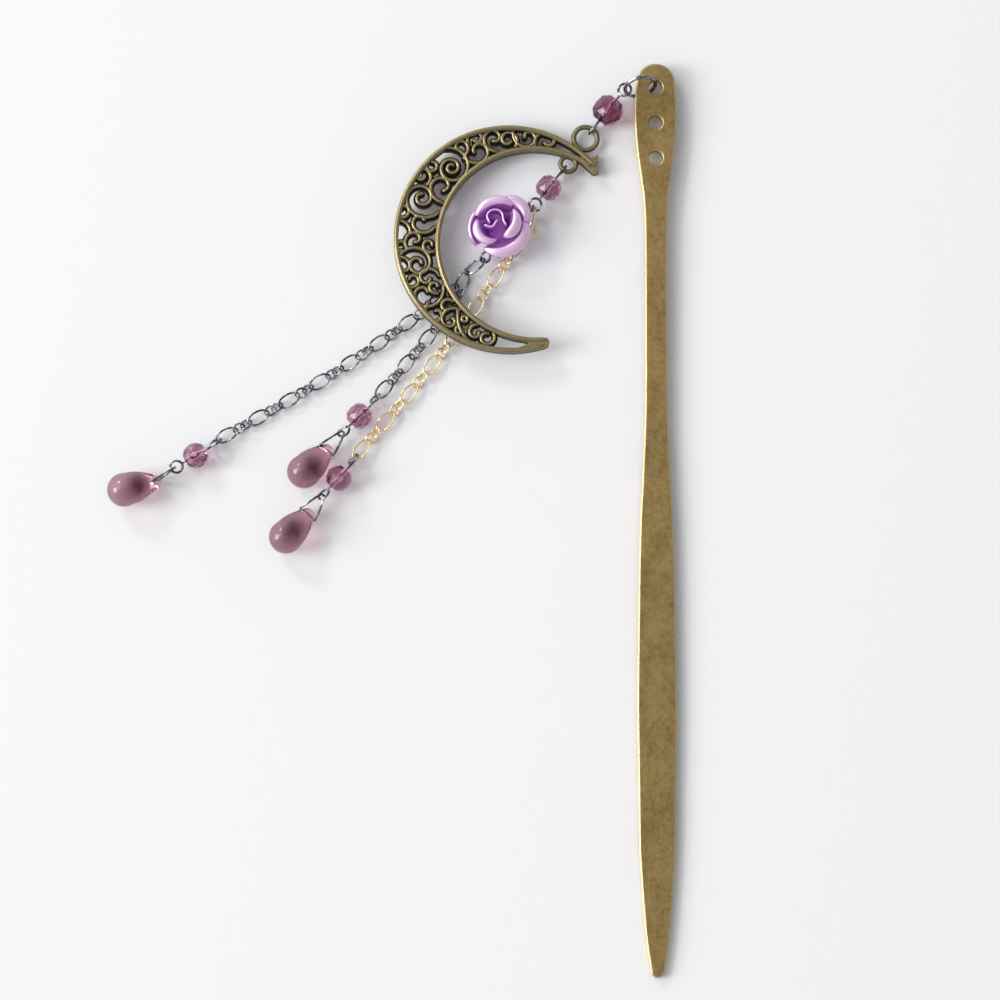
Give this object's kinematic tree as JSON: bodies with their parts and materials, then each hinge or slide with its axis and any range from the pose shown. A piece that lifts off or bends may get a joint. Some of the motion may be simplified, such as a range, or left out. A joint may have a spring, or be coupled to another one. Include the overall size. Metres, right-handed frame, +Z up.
{
  "type": "hair stick",
  "caption": "Flat hair stick with a pierced crescent pendant, a metal rose, cut glass beads, fine chains and glass drops hanging from its head.",
  "frame": {"origin": "middle of the table area under the piece, on the table's surface", "axes": "+X right, +Y along the stick towards its head, +Z up from the table"},
  "size_m": [0.0886, 0.1422, 0.0064],
  "materials": {
    "brass": "aged satin",
    "bronze": "aged satin with dark recesses",
    "gunmetal": "gunmetal plated",
    "gold": "polished gold plated",
    "lilac": "anodised satin",
    "cut_glass": "cut and polished",
    "drop_glass": "polished"
  },
  "bodies": {
    "root": {"hair_stick": "brass", "stick_ring": "gunmetal", "top_bead_pin": "gunmetal", "top_bead": "cut_glass", "crescent_moon": "bronze", "moon_bead_pin": "gunmetal", "moon_bead": "cut_glass", "rose_pin": "gunmetal", "rose": "lilac", "rose_link": "gunmetal", "yoke_link": "gunmetal", "long_dark_chain": "gunmetal", "short_dark_chain": "gunmetal", "gold_chain": "gold", "end_pin_1": "gunmetal", "end_pin_2": "gunmetal", "end_pin_3": "gunmetal", "end_bead_1": "cut_glass", "end_bead_2": "cut_glass", "end_bead_3": "cut_glass", "drop_bail_1": "gunmetal", "drop_bail_2": "gunmetal", "drop_bail_3": "gunmetal", "glass_drop_1": "drop_glass", "glass_drop_2": "drop_glass", "glass_drop_3": "drop_glass"}
  },
  "joints": []
}
